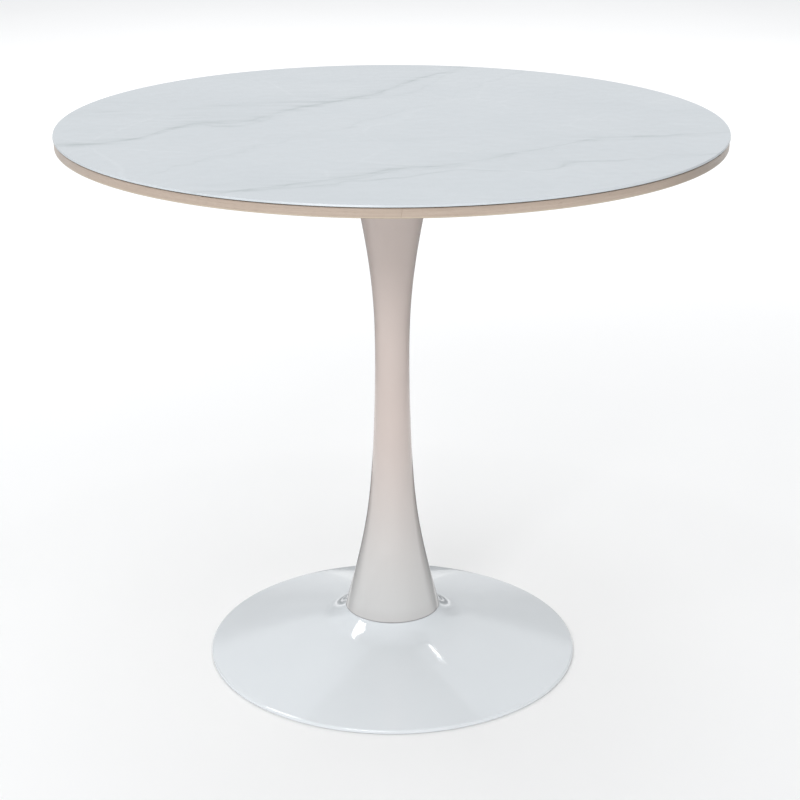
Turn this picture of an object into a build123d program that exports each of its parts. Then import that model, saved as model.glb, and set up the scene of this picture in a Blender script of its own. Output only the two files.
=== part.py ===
from build123d import *
from math import radians, tan
import os

# Round pedestal table: a marble-look slab bonded to a wood board, a waisted steel column and a
# trumpet-shaped steel base with a counterweight and four levelling feet inside it.
# Millimetres, +Z up. The origin is on the floor, under the centre of the column.

# ---- driving dimensions ------------------------------------------------------------------------
TABLE_HEIGHT = 737.0
TOP_RADIUS = 425.0
BASE_RADIUS = 252.0
RIM_GAP = 1.0  # from the floor to the lower edge of the base

# tabletop layers, from the top down
SLAB_THICKNESS = 3.0
ADHESIVE_THICKNESS = 0.6
BOARD_THICKNESS = 10.5
BACKING_THICKNESS = 0.6
SLAB_ARRIS = 0.7
SLAB_OVERHANG = 1.0  # slab beyond the edge band
ADHESIVE_RECESS = 1.6  # glue line behind the edge band
BAND_THICKNESS = 0.8
BAND_SEAM = 0.3
BAND_SEAM_ANGLE = -88.6  # where the two ends of the band meet, near the front

# mounting plate and its fasteners
PLATE_RADIUS = 140.0
PLATE_THICKNESS = 5.0
PLATE_CENTRE_HOLE = 15.0
PLATE_EDGE = 0.8
TOP_SCREW_COUNT = 8
TOP_SCREW_CIRCLE = 120.0
TOP_SCREW_LENGTH = 14.0
INSERT_RADIUS = 4.75
INSERT_LENGTH = 10.0
FLANGE_BOLT_COUNT = 4
FLANGE_BOLT_CIRCLE = 40.0
FLANGE_BOLT_LENGTH = 16.0

# column: a waisted line of (height, radius) between two flared ends of the same radius
COLUMN_WALL = 1.5
COLUMN_END_RADIUS = 65.2
COLUMN_WAIST = [
    (121.0, 50.1),
    (167.0, 40.1),
    (215.0, 32.6),
    (262.0, 28.2),
    (330.0, 24.9),
    (423.0, 22.9),
    (489.0, 24.4),
    (544.0, 29.5),
    (608.0, 39.7),
    (665.0, 51.3),
]
TOP_FLANGE_THICKNESS = 6.0
BOTTOM_FLANGE_THICKNESS = 5.0
FLANGE_BORE = 10.0
GASKET_THICKNESS = 0.6
GASKET_INNER_RADIUS = 56.0
GASKET_RECESS = 0.8

# base
SHEET = 2.0  # spun steel sheet of the base
NECK_RADIUS = 65.2
NECK_HEIGHT = 64.0
NECK_SLOPE = 50.0  # degrees below level, at the neck
DOME_SLOPE = 13.6  # degrees below level, on the straight part of the dome
RIM_HEIGHT = 5.2  # where the dome's line and the upright rim would meet
NECK_EDGE_BEND = 1.5
FLARE_BEND = 62.0
RIM_BEND = 3.0  # outer bend; the sheet's inner bend is smaller by its thickness
BASE_CENTRE_HOLE = 13.0
HUB_RADIUS = 56.0
HUB_THICKNESS = 5.0
COLUMN_BOLT_COUNT = 4
COLUMN_BOLT_CIRCLE = 45.0
COLUMN_BOLT_LENGTH = 25.0

# counterweight, hung under the dome on four welded studs: thicker near its bore
WEIGHT_RADIUS = 180.0
WEIGHT_STEP_RADIUS = 145.0
WEIGHT_BORE = 70.0
WEIGHT_BOTTOM = 8.0
WEIGHT_OUTER_THICKNESS = 10.0
WEIGHT_INNER_THICKNESS = 16.0
WEIGHT_EDGE = 1.5
STUD_COUNT = 4
STUD_CIRCLE = 115.0
STUD_TIP = 8.6  # height of the studs' lower ends
NUT_POCKET_RADIUS = 11.0
NUT_POCKET_DEPTH = 10.0

# levelling feet
FOOT_NAMES = ("front_left", "front_right", "back_right", "back_left")
FOOT_ANGLES = (-135.0, -45.0, 45.0, 135.0)
FOOT_CIRCLE = 165.0
SOLE_RADIUS = 13.5
SOLE_THICKNESS = 1.5
PAD_RADIUS = 15.0
PAD_THICKNESS = 4.5
PAD_SHOULDER = 2.7
COLLAR_THICKNESS = 1.7
STEM_TOP = 21.5
BUSH_RADIUS = 6.5

# standard fasteners: shank radius, width across flats, head and nut heights
M8, M6 = 4.0, 3.0
HEX_M8 = 13.0
HEAD_M8, NUT_M8 = 5.3, 6.5
WASHER_M8_RADIUS, WASHER_M8_THICKNESS = 8.0, 1.6
SPRING_M8_RADIUS, SPRING_M8_THICKNESS, SPRING_M8_SLOT = 7.0, 2.0, 1.5
COUNTERSINK_M8, COUNTERSINK_M8_DEPTH = 7.8, 3.8
SOCKET_M8, SOCKET_M6 = 5.0, 4.0
SOCKET_DEPTH_M8, SOCKET_DEPTH_M6 = 3.0, 2.0
BUTTON_M6_RADIUS, BUTTON_M6_HEIGHT, BUTTON_M6_CROWN = 5.25, 3.3, 2.3
WASHER_M6_RADIUS, WASHER_M6_THICKNESS = 7.0, 1.4
RUNNING_GAP = 0.05  # thread play, on the radius
PASSING_GAP = 0.5  # clearance holes, on the radius
WASHER_GAP = 0.2  # washer holes, on the radius
CUT = 1.0  # how far a cutting tool passes a face
HEAD_BEVEL = 30.0  # degrees from the flat face of a hexagon head
HEAD_BEVEL_START = 0.95  # where the bevel starts, as a share of half the width across flats
SLOT_TWIST = 25.0  # degrees, the lean of a spring washer's slot
EASE = 0.5  # small broken edges

# ---- heights worked out from the dimensions above ------------------------------------------------
SLAB_BOTTOM = TABLE_HEIGHT - SLAB_THICKNESS
BOARD_TOP = SLAB_BOTTOM - ADHESIVE_THICKNESS
BOARD_BOTTOM = BOARD_TOP - BOARD_THICKNESS
TOP_BOTTOM = BOARD_BOTTOM - BACKING_THICKNESS
BAND_RADIUS = TOP_RADIUS - SLAB_OVERHANG
BOARD_RADIUS = BAND_RADIUS - BAND_THICKNESS
PLATE_BOTTOM = TOP_BOTTOM - PLATE_THICKNESS
COLUMN_BOTTOM = NECK_HEIGHT + GASKET_THICKNESS
HUB_TOP = NECK_HEIGHT - SHEET
# where the neck's line and the dome's line would meet
NECK_FALL = tan(radians(NECK_SLOPE))
DOME_FALL = tan(radians(DOME_SLOPE))
DOME_AT_AXIS = RIM_HEIGHT + BASE_RADIUS * DOME_FALL
FLARE_RADIUS = (NECK_HEIGHT + NECK_RADIUS * NECK_FALL - DOME_AT_AXIS) / (NECK_FALL - DOME_FALL)
FLARE_HEIGHT = DOME_AT_AXIS - FLARE_RADIUS * DOME_FALL
COLLAR_TOP = SOLE_THICKNESS + PAD_THICKNESS + COLLAR_THICKNESS


# ---- helpers --------------------------------------------------------------------------------------
def disc(radius, bottom, thickness, hole=0.0):
    """A flat disc standing on the height bottom, with a round hole if hole is a radius."""
    body = Pos(0, 0, bottom) * extrude(Circle(radius), thickness)
    if hole:
        body -= Pos(0, 0, bottom - CUT) * extrude(Circle(hole), thickness + 2 * CUT)
    return body


def hexagon(across_flats, bottom, height):
    """A hexagonal prism, such as a nut or a wrench head."""
    return Pos(0, 0, bottom) * extrude(RegularPolygon(across_flats / 2, 6, major_radius=False), height)


def around(piece, count, circle, start=45.0):
    """Copies of a piece, evenly spaced on a circle about the column's axis, each a separate solid."""
    places = [start + 360.0 * i / count for i in range(count)]
    return [Rot(0, 0, angle) * Pos(circle, 0, 0) * piece for angle in places]


def drill(body, tool, count, circle, start=45.0):
    """The body with the same hole cut at each place on a circle."""
    for cutter in around(tool, count, circle, start):
        body -= cutter
    return body


def spun(points):
    """A solid of revolution about Z from a closed outline of (radius, height) corners."""
    return revolve(Plane.XZ * make_face(Polyline(*points, points[0])), Axis.Z)


def welded_disc(shell, radius, bottom, thickness):
    """A disc that fills a flared tube between two heights, meeting the tube's wall all round."""
    pieces = disc(radius, bottom, thickness, hole=FLANGE_BORE) - shell
    return pieces.solids().sort_by(SortBy.VOLUME)[-1]


def save(name, shape):
    solids = shape if isinstance(shape, list) else shape.solids()
    export_step(Compound(children=list(solids)) if len(solids) > 1 else solids[0], f"parts/{name}.step")


# ---- tabletop ---------------------------------------------------------------------------------------
def marble_slab():
    slab = disc(TOP_RADIUS, SLAB_BOTTOM, SLAB_THICKNESS)
    return fillet(slab.edges(), SLAB_ARRIS)


def adhesive_bed():
    return disc(BAND_RADIUS - ADHESIVE_RECESS, BOARD_TOP, ADHESIVE_THICKNESS)


def core_board():
    board = disc(BOARD_RADIUS, BOARD_BOTTOM, BOARD_THICKNESS)
    pocket = disc(INSERT_RADIUS + RUNNING_GAP, TOP_BOTTOM - CUT, INSERT_LENGTH + CUT)
    return drill(board, pocket, TOP_SCREW_COUNT, TOP_SCREW_CIRCLE)


def backing_sheet():
    sheet = disc(BOARD_RADIUS, TOP_BOTTOM, BACKING_THICKNESS)
    hole = disc(INSERT_RADIUS + RUNNING_GAP, TOP_BOTTOM - CUT, BACKING_THICKNESS + 2 * CUT)
    return drill(sheet, hole, TOP_SCREW_COUNT, TOP_SCREW_CIRCLE)


def edge_band():
    """A thin strip bent round the board's edge, with a butt seam where its ends meet."""
    band = disc(BAND_RADIUS, TOP_BOTTOM, BOARD_TOP - TOP_BOTTOM, hole=BOARD_RADIUS)
    seam = Pos(BAND_RADIUS, 0, BOARD_BOTTOM) * Box(4 * BAND_THICKNESS, BAND_SEAM, 4 * BOARD_THICKNESS)
    return band - Rot(0, 0, BAND_SEAM_ANGLE) * seam


def threaded_inserts():
    insert = disc(INSERT_RADIUS, TOP_BOTTOM, INSERT_LENGTH, hole=M6 + RUNNING_GAP)
    return around(insert, TOP_SCREW_COUNT, TOP_SCREW_CIRCLE)


# ---- mounting plate ---------------------------------------------------------------------------------
def mounting_plate():
    plate = chamfer(disc(PLATE_RADIUS, PLATE_BOTTOM, PLATE_THICKNESS).edges(), PLATE_EDGE)
    plate -= disc(PLATE_CENTRE_HOLE, PLATE_BOTTOM - CUT, PLATE_THICKNESS + 2 * CUT)
    screw_hole = disc(M6 + PASSING_GAP, PLATE_BOTTOM - CUT, PLATE_THICKNESS + 2 * CUT)
    plate = drill(plate, screw_hole, TOP_SCREW_COUNT, TOP_SCREW_CIRCLE)
    cone_top = COUNTERSINK_M8 + WASHER_GAP
    cone_depth = cone_top - M8 - PASSING_GAP
    bolt_hole = disc(M8 + PASSING_GAP, PLATE_BOTTOM - CUT, PLATE_THICKNESS + 2 * CUT)
    bolt_hole += Pos(0, 0, TOP_BOTTOM - cone_depth / 2) * Cone(M8 + PASSING_GAP, cone_top, cone_depth)
    return drill(plate, bolt_hole, FLANGE_BOLT_COUNT, FLANGE_BOLT_CIRCLE)


def top_screws():
    """Button-head screws that hold the plate to the inserts in the board, heads downwards."""
    seat = PLATE_BOTTOM - WASHER_M6_THICKNESS
    head = disc(BUTTON_M6_RADIUS, seat - BUTTON_M6_HEIGHT, BUTTON_M6_HEIGHT)
    head = fillet(head.edges().sort_by(Axis.Z)[0], BUTTON_M6_CROWN)
    head -= hexagon(SOCKET_M6, seat - BUTTON_M6_HEIGHT - CUT, SOCKET_DEPTH_M6 + CUT)
    return around(head + disc(M6, seat, TOP_SCREW_LENGTH), TOP_SCREW_COUNT, TOP_SCREW_CIRCLE)


def top_screw_washers():
    bottom = PLATE_BOTTOM - WASHER_M6_THICKNESS
    washer = disc(WASHER_M6_RADIUS, bottom, WASHER_M6_THICKNESS, hole=M6 + WASHER_GAP)
    return around(washer, TOP_SCREW_COUNT, TOP_SCREW_CIRCLE)


def flange_bolts():
    """Countersunk bolts from the plate down into the column's top flange, flush with the plate."""
    depth = COUNTERSINK_M8_DEPTH
    head = Pos(0, 0, TOP_BOTTOM - depth / 2) * Cone(M8, COUNTERSINK_M8, depth)
    shank = disc(M8, TOP_BOTTOM - FLANGE_BOLT_LENGTH, FLANGE_BOLT_LENGTH - depth)
    socket = hexagon(SOCKET_M8, TOP_BOTTOM - SOCKET_DEPTH_M8, SOCKET_DEPTH_M8 + CUT)
    return around(head + shank - socket, FLANGE_BOLT_COUNT, FLANGE_BOLT_CIRCLE)


# ---- column -----------------------------------------------------------------------------------------
def column_outline(inset):
    """The column's waisted line, moved inwards by inset."""
    line = [(COLUMN_BOTTOM, COLUMN_END_RADIUS), *COLUMN_WAIST, (PLATE_BOTTOM, COLUMN_END_RADIUS)]
    return Spline(*[(radius - inset, height) for height, radius in line])


def column_shell():
    outer = column_outline(0.0)
    inner = column_outline(COLUMN_WALL)
    wall = make_face([outer, inner, Line(outer @ 0, inner @ 0), Line(outer @ 1, inner @ 1)])
    return revolve(Plane.XZ * wall, Axis.Z)


def column_bottom_flange(shell):
    """A disc welded into the foot of the column, with passing holes below the weld nuts."""
    flange = welded_disc(shell, COLUMN_END_RADIUS, COLUMN_BOTTOM, BOTTOM_FLANGE_THICKNESS)
    hole = disc(M8 + PASSING_GAP, COLUMN_BOTTOM - CUT, BOTTOM_FLANGE_THICKNESS + 2 * CUT)
    return drill(flange, hole, COLUMN_BOLT_COUNT, COLUMN_BOLT_CIRCLE)


def weld_nuts():
    seat = COLUMN_BOTTOM + BOTTOM_FLANGE_THICKNESS
    nut = hexagon(HEX_M8, seat, NUT_M8) - disc(M8 + RUNNING_GAP, seat - CUT, NUT_M8 + 2 * CUT)
    return around(nut, COLUMN_BOLT_COUNT, COLUMN_BOLT_CIRCLE)


def column_top_flange(shell):
    """A disc welded into the head of the column, tapped for the flange bolts."""
    bottom = PLATE_BOTTOM - TOP_FLANGE_THICKNESS
    flange = welded_disc(shell, COLUMN_END_RADIUS, bottom, TOP_FLANGE_THICKNESS)
    tapped = disc(M8 + RUNNING_GAP, bottom - CUT, TOP_FLANGE_THICKNESS + 2 * CUT)
    return drill(flange, tapped, FLANGE_BOLT_COUNT, FLANGE_BOLT_CIRCLE)


def column_gasket():
    """A thin silicone ring between the column's foot and the neck of the base."""
    return disc(NECK_RADIUS - GASKET_RECESS, NECK_HEIGHT, GASKET_THICKNESS, hole=GASKET_INNER_RADIUS)


# ---- base -------------------------------------------------------------------------------------------
def base_outline():
    """The outer line of the trumpet: flat seat, neck edge, concave flare, straight dome, rolled rim."""
    corners = [
        (BASE_CENTRE_HOLE, NECK_HEIGHT),
        (NECK_RADIUS, NECK_HEIGHT),
        (FLARE_RADIUS, FLARE_HEIGHT),
        (BASE_RADIUS, RIM_HEIGHT),
        (BASE_RADIUS, RIM_GAP),
    ]
    return FilletPolyline(*corners, radius=[NECK_EDGE_BEND, FLARE_BEND, RIM_BEND])


def base_shell():
    """Spun steel sheet, the outline thickened inwards, with four bolt holes in its seat."""
    outer = base_outline()
    inner = offset(outer, amount=SHEET, side=Side.RIGHT, closed=False)
    ends = sorted((inner @ 0, inner @ 1), key=lambda point: point.X)
    wall = make_face([outer, inner, Line(outer @ 0, ends[0]), Line(outer @ 1, ends[1])])
    shell = revolve(Plane.XZ * wall, Axis.Z)
    hole = disc(M8 + PASSING_GAP, HUB_TOP - CUT, SHEET + 2 * CUT)
    return drill(shell, hole, COLUMN_BOLT_COUNT, COLUMN_BOLT_CIRCLE)


def hub_plate():
    """A stiff disc under the seat of the dome, which the column bolts pull up against it."""
    plate = disc(HUB_RADIUS, HUB_TOP - HUB_THICKNESS, HUB_THICKNESS, hole=BASE_CENTRE_HOLE)
    hole = disc(M8 + PASSING_GAP, HUB_TOP - HUB_THICKNESS - CUT, HUB_THICKNESS + 2 * CUT)
    return drill(plate, hole, COLUMN_BOLT_COUNT, COLUMN_BOLT_CIRCLE)


def column_bolt_washers():
    bottom = HUB_TOP - HUB_THICKNESS - WASHER_M8_THICKNESS
    washer = disc(WASHER_M8_RADIUS, bottom, WASHER_M8_THICKNESS, hole=M8 + WASHER_GAP)
    return around(washer, COLUMN_BOLT_COUNT, COLUMN_BOLT_CIRCLE)


def column_spring_washers():
    """Split washers under the bolt heads, each with its slot turned outwards."""
    bottom = HUB_TOP - HUB_THICKNESS - WASHER_M8_THICKNESS - SPRING_M8_THICKNESS
    washer = disc(SPRING_M8_RADIUS, bottom, SPRING_M8_THICKNESS, hole=M8 + WASHER_GAP)
    middle = (SPRING_M8_RADIUS + M8) / 2
    slot = Box(SPRING_M8_RADIUS, SPRING_M8_SLOT, 4 * SPRING_M8_THICKNESS)
    slot = Pos(middle + CUT, 0, bottom + SPRING_M8_THICKNESS / 2) * Rot(SLOT_TWIST, 0, 0) * slot
    return around(washer - slot, COLUMN_BOLT_COUNT, COLUMN_BOLT_CIRCLE)


def column_bolts():
    """Hexagon bolts from below, through the hub and the dome into the column's weld nuts."""
    seat = HUB_TOP - HUB_THICKNESS - WASHER_M8_THICKNESS - SPRING_M8_THICKNESS
    bevel_radius = HEAD_BEVEL_START * HEX_M8 / 2
    bevel_top = bevel_radius + HEAD_M8 / tan(radians(HEAD_BEVEL))
    head = hexagon(HEX_M8, seat - HEAD_M8, HEAD_M8)
    head &= Pos(0, 0, seat - HEAD_M8 / 2) * Cone(bevel_radius, bevel_top, HEAD_M8)
    return around(head + disc(M8, seat, COLUMN_BOLT_LENGTH), COLUMN_BOLT_COUNT, COLUMN_BOLT_CIRCLE)


# ---- counterweight ----------------------------------------------------------------------------------
def counterweight():
    """A stepped cast-iron ring with stud holes and nut pockets, and bores for the levelling bushes."""
    outer_top = WEIGHT_BOTTOM + WEIGHT_OUTER_THICKNESS
    inner_top = WEIGHT_BOTTOM + WEIGHT_INNER_THICKNESS
    section = [
        (WEIGHT_BORE, WEIGHT_BOTTOM),
        (WEIGHT_RADIUS, WEIGHT_BOTTOM),
        (WEIGHT_RADIUS, outer_top),
        (WEIGHT_STEP_RADIUS, outer_top),
        (WEIGHT_STEP_RADIUS, inner_top),
        (WEIGHT_BORE, inner_top),
    ]
    ring = spun(section)
    ring = chamfer(ring.edges().filter_by(GeomType.CIRCLE).sort_by(SortBy.RADIUS)[-2:], WEIGHT_EDGE)
    stud_hole = disc(M8 + PASSING_GAP, WEIGHT_BOTTOM - CUT, WEIGHT_INNER_THICKNESS + 2 * CUT)
    stud_hole += disc(NUT_POCKET_RADIUS, WEIGHT_BOTTOM - CUT, NUT_POCKET_DEPTH + CUT)
    ring = drill(ring, stud_hole, STUD_COUNT, STUD_CIRCLE, start=0.0)
    bush_bore = disc(BUSH_RADIUS, WEIGHT_BOTTOM - CUT, WEIGHT_INNER_THICKNESS + 2 * CUT)
    return drill(ring, bush_bore, len(FOOT_ANGLES), FOOT_CIRCLE)


def weight_studs(shell):
    """Studs welded to the underside of the dome: each ends on the sloping sheet."""
    long_studs = around(disc(M8, STUD_TIP, NECK_HEIGHT), STUD_COUNT, STUD_CIRCLE, start=0.0)
    return [(stud - shell).solids().sort_by(Axis.Z)[0] for stud in long_studs]


def weight_washers():
    top = WEIGHT_BOTTOM + NUT_POCKET_DEPTH
    washer = disc(WASHER_M8_RADIUS, top - WASHER_M8_THICKNESS, WASHER_M8_THICKNESS, hole=M8 + WASHER_GAP)
    return around(washer, STUD_COUNT, STUD_CIRCLE, start=0.0)


def weight_nuts():
    top = WEIGHT_BOTTOM + NUT_POCKET_DEPTH - WASHER_M8_THICKNESS
    nut = hexagon(HEX_M8, top - NUT_M8, NUT_M8) - disc(M8 + RUNNING_GAP, top - NUT_M8 - CUT, NUT_M8 + 2 * CUT)
    return around(nut, STUD_COUNT, STUD_CIRCLE, start=0.0)


def leveller_bushes():
    """Threaded steel sleeves pressed into the counterweight, one for each foot."""
    bush = disc(BUSH_RADIUS, WEIGHT_BOTTOM, WEIGHT_OUTER_THICKNESS, hole=M8 + RUNNING_GAP)
    return around(bush, len(FOOT_ANGLES), FOOT_CIRCLE)


# ---- levelling feet ---------------------------------------------------------------------------------
def foot_sole():
    return disc(SOLE_RADIUS, 0.0, SOLE_THICKNESS)


def foot_pad():
    """The nylon glide, with a rounded shoulder."""
    pad = disc(PAD_RADIUS, SOLE_THICKNESS, PAD_THICKNESS)
    return fillet(pad.edges().sort_by(Axis.Z)[-1], PAD_SHOULDER)


def foot_stem():
    """The threaded stem, with a hexagon collar that stops against the counterweight."""
    collar = hexagon(HEX_M8, SOLE_THICKNESS + PAD_THICKNESS, COLLAR_THICKNESS)
    stem = chamfer(disc(M8, COLLAR_TOP, STEM_TOP - COLLAR_TOP).edges().sort_by(Axis.Z)[-1], EASE)
    return collar + stem


def at_foot(angle, piece):
    return Rot(0, 0, angle) * Pos(FOOT_CIRCLE, 0, 0) * piece


# ---- assembly ---------------------------------------------------------------------------------------
def main():
    os.makedirs("parts", exist_ok=True)
    shell = base_shell()
    column = column_shell()
    nodes = {
        "marble_slab": marble_slab(),
        "adhesive_bed": adhesive_bed(),
        "core_board": core_board(),
        "backing_sheet": backing_sheet(),
        "edge_band": edge_band(),
        "threaded_inserts": threaded_inserts(),
        "mounting_plate": mounting_plate(),
        "top_screws": top_screws(),
        "top_screw_washers": top_screw_washers(),
        "flange_bolts": flange_bolts(),
        "column_shell": column,
        "column_top_flange": column_top_flange(column),
        "column_bottom_flange": column_bottom_flange(column),
        "weld_nuts": weld_nuts(),
        "column_gasket": column_gasket(),
        "base_shell": shell,
        "hub_plate": hub_plate(),
        "column_bolts": column_bolts(),
        "column_bolt_washers": column_bolt_washers(),
        "column_spring_washers": column_spring_washers(),
        "counterweight": counterweight(),
        "weight_studs": weight_studs(shell),
        "weight_washers": weight_washers(),
        "weight_nuts": weight_nuts(),
        "leveller_bushes": leveller_bushes(),
    }
    for name, angle in zip(FOOT_NAMES, FOOT_ANGLES):
        nodes[f"foot_sole_{name}"] = at_foot(angle, foot_sole())
        nodes[f"foot_pad_{name}"] = at_foot(angle, foot_pad())
        nodes[f"foot_stem_{name}"] = at_foot(angle, foot_stem())
    for name, shape in nodes.items():
        save(name, shape)


if __name__ == "__main__":
    main()
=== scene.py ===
# %% [markdown]
# # A round pedestal table, finished in Blender
# The table's shape was worked out in CAD, in metres, and arrives here as a frame that stays as it is.
# This lesson dresses that frame. Round pieces that need a finer surface are worked out again as numpy grids,
# and every surface gets a procedural finish: stone, wood, lacquer, zinc, cast iron, nylon and rubber.
# The first cell loads the frame, and part_box reads the box of any of its nodes.

import math

import bpy
import numpy as np
from mathutils import Matrix, Vector


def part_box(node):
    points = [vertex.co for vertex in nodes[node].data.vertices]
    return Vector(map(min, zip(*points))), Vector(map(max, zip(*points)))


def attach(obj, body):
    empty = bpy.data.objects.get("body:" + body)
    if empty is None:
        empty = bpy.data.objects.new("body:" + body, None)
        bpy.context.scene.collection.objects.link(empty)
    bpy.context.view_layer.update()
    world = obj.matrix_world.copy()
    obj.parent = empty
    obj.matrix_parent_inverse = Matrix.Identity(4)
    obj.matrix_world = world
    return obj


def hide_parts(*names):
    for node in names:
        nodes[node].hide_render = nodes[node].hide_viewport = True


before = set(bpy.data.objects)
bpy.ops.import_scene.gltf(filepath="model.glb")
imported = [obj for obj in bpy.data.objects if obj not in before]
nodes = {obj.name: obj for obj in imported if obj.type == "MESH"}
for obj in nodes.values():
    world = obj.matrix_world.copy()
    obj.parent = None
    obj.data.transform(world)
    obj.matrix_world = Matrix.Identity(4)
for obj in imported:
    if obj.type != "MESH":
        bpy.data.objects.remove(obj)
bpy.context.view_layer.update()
MM = 0.001

# %% [markdown]
# ## The camera
# The table is seen from a little above the top and from straight in front, with a long lens, so its top is a
# flat ellipse and its column looks upright. The view's numbers are a position, two angles and a focal length.
# A camera looks down its own -Z, so a level view is a 90 degree turn about X, less the downward tilt.

# %% Camera
SENSOR = 36.0
FOCAL_LENGTH = 84.593
CAMERA_PLACE = (0.0, -2.36183, 1.22411)
LOOK_DOWN = 20.0266
LOOK_ASIDE = 0.25

lens = bpy.data.cameras.new("camera")
lens.sensor_width = SENSOR
lens.lens = FOCAL_LENGTH
camera = bpy.data.objects.new("camera", lens)
camera.location = CAMERA_PLACE
camera.rotation_euler = (math.radians(90.0 - LOOK_DOWN), 0.0, math.radians(-LOOK_ASIDE))
bpy.context.scene.collection.objects.link(camera)
bpy.context.scene.camera = camera
print("focal length", lens.lens, "mm, camera height", camera.location.z)

# %% [markdown]
# ## Surfaces as grids
# Most of this table is turned: a flat outline goes once round the column's axis. Such a surface is a
# function of two parameters, the place along the outline and the angle, so numpy can work out every corner
# at once. A lathe modifier would do the same, but a grid also carries threads, grooves and a UV map.
# `around` gives the corners, `grid_faces` and `tube_faces` the faces, and `shell_of` puts both into a mesh
# and turns the faces outwards if the enclosed volume comes out negative.

# %% Mesh helpers
SHARP = math.radians(32.0)


def shade(mesh):
    """Smooth shading, with a crisp edge wherever two faces meet at more than SHARP."""
    mesh.polygons.foreach_set("use_smooth", np.ones(len(mesh.polygons), bool))
    mesh.set_sharp_from_angle(angle=SHARP)


def shell_of(title, corners, faces, uv=None):
    """A mesh object from an (n, 3) array of corners and lists of faces. The signed volume is the sum over
    triangles of a . (b x c) / 6; where it is below zero the corner order of every face is reversed."""
    corners = np.asarray(corners, float)
    fans = np.array([(f[0], f[i], f[i + 1]) for f in faces for i in range(1, len(f) - 1)])
    a, b, c = corners[fans[:, 0]], corners[fans[:, 1]], corners[fans[:, 2]]
    if np.einsum("ij,ij->", a, np.cross(b, c)) < 0:
        faces = [tuple(reversed(f)) for f in faces]
    mesh = bpy.data.meshes.new(title)
    mesh.from_pydata(corners.tolist(), [], faces)
    mesh.validate()
    shade(mesh)
    if uv is not None:
        layer = mesh.uv_layers.new(name="along")
        order = np.empty(len(mesh.loops), np.int32)
        mesh.loops.foreach_get("vertex_index", order)
        layer.data.foreach_set("uv", np.asarray(uv, float)[order].ravel())
    piece = bpy.data.objects.new(title, mesh)
    bpy.context.scene.collection.objects.link(piece)
    return piece


def around(r, t, h, centre=(0.0, 0.0)):
    """The corners (r cos t, r sin t, h) about an upright axis, as an (n, 3) array."""
    spots = np.broadcast_arrays(centre[0] + r * np.cos(t), centre[1] + r * np.sin(t), h)
    return np.stack(spots, -1).reshape(-1, 3)


def grid_faces(rows, columns, close_rows=False, close_columns=True):
    """Four-sided faces between neighbouring rows and columns of a grid of corners numbered row by row."""
    i, j = np.arange(rows - (not close_rows)), np.arange(columns - (not close_columns))
    i, j = np.meshgrid(i, j, indexing="ij")
    up, along = (i + 1) % rows, (j + 1) % columns
    quads = np.stack([i * columns + j, i * columns + along, up * columns + along, up * columns + j], -1)
    return [tuple(q) for q in quads.reshape(-1, 4).tolist()]


def tube_faces(rows, columns):
    """The faces of a tube of corners, with one many-sided face over each end."""
    last = (rows - 1) * columns
    ends = [tuple(range(columns)), tuple(range(last + columns - 1, last - 1, -1))]
    return grid_faces(rows, columns) + ends


def turned(title, outline, turns=256, centre=(0.0, 0.0)):
    """A solid of revolution, with a corner for each outline point (r, h) and each angle t. An outline that
    starts and ends on the axis is closed by a fan at each pole; any other is a ring."""
    outline = np.asarray(outline, float)
    poled = outline[0, 0] == 0.0
    rows = outline[1:-1] if poled else outline
    t = np.linspace(0.0, 2.0 * math.pi, turns, endpoint=False)
    corners = around(rows[:, :1], t, rows[:, 1:], centre)
    faces = grid_faces(len(rows), turns, close_rows=not poled)
    if poled:
        poles = [(*centre, outline[0, 1]), (*centre, outline[-1, 1])]
        corners = np.vstack([corners, poles])
        last = (len(rows) - 1) * turns
        faces += [(len(corners) - 2, (j + 1) % turns, j) for j in range(turns)]
        faces += [(len(corners) - 1, last + j, last + (j + 1) % turns) for j in range(turns)]
    return shell_of(title, corners, faces)


def fitted(piece, body, slot, *replaced):
    """Attach a piece to the body it rides on and hide the CAD nodes it stands for; slot is not used."""
    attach(piece, body)
    if replaced:
        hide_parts(*replaced)
    print(piece.name, "corners", len(piece.data.vertices), "faces", len(piece.data.polygons))
    return piece


# %% [markdown]
# Sheet metal and moulded plastic have bends, not corners. `rounded` takes the corners of an outline and a
# bend radius for each, and replaces each corner by an arc that touches both of its lines. The arc starts
# radius / tan(half the corner's angle) away from the corner.

# %% Rounded outlines
def rounded(corners, radii, steps):
    """Points along a line with rounded corners: for each corner the arc's centre lies on the bisector, at
    radius / sin(half angle), and the arc runs from one touching point to the other."""
    corners = np.asarray(corners, float)
    points = []
    for i, (corner, radius) in enumerate(zip(corners, radii)):
        if radius == 0.0:
            points.append(corner[None])
            continue
        back = corners[i - 1] - corner
        ahead = corners[i + 1] - corner
        back, ahead = back / np.linalg.norm(back), ahead / np.linalg.norm(ahead)
        half = math.acos(float(np.clip(back @ ahead, -1.0, 1.0))) / 2.0
        middle = (back + ahead) / np.linalg.norm(back + ahead)
        centre = corner + middle * radius / math.sin(half)
        start = corner + back * radius / math.tan(half) - centre
        turn = (math.pi - 2.0 * half) * np.sign(start[0] * ahead[1] - start[1] * ahead[0])
        t = np.linspace(0.0, turn, steps)[:, None]
        points.append(centre + start * np.cos(t) + np.array([-start[1], start[0]]) * np.sin(t))
    return np.vstack(points)


def eased_block(inner, outer, start, stop, ease, steps):
    """A rectangle between two radii, from one height to another, with its two outer corners rounded."""
    corners = [(inner, start), (outer, start), (outer, stop), (inner, stop)]
    return rounded(corners, [0.0, ease, ease, 0.0], steps)


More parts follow.
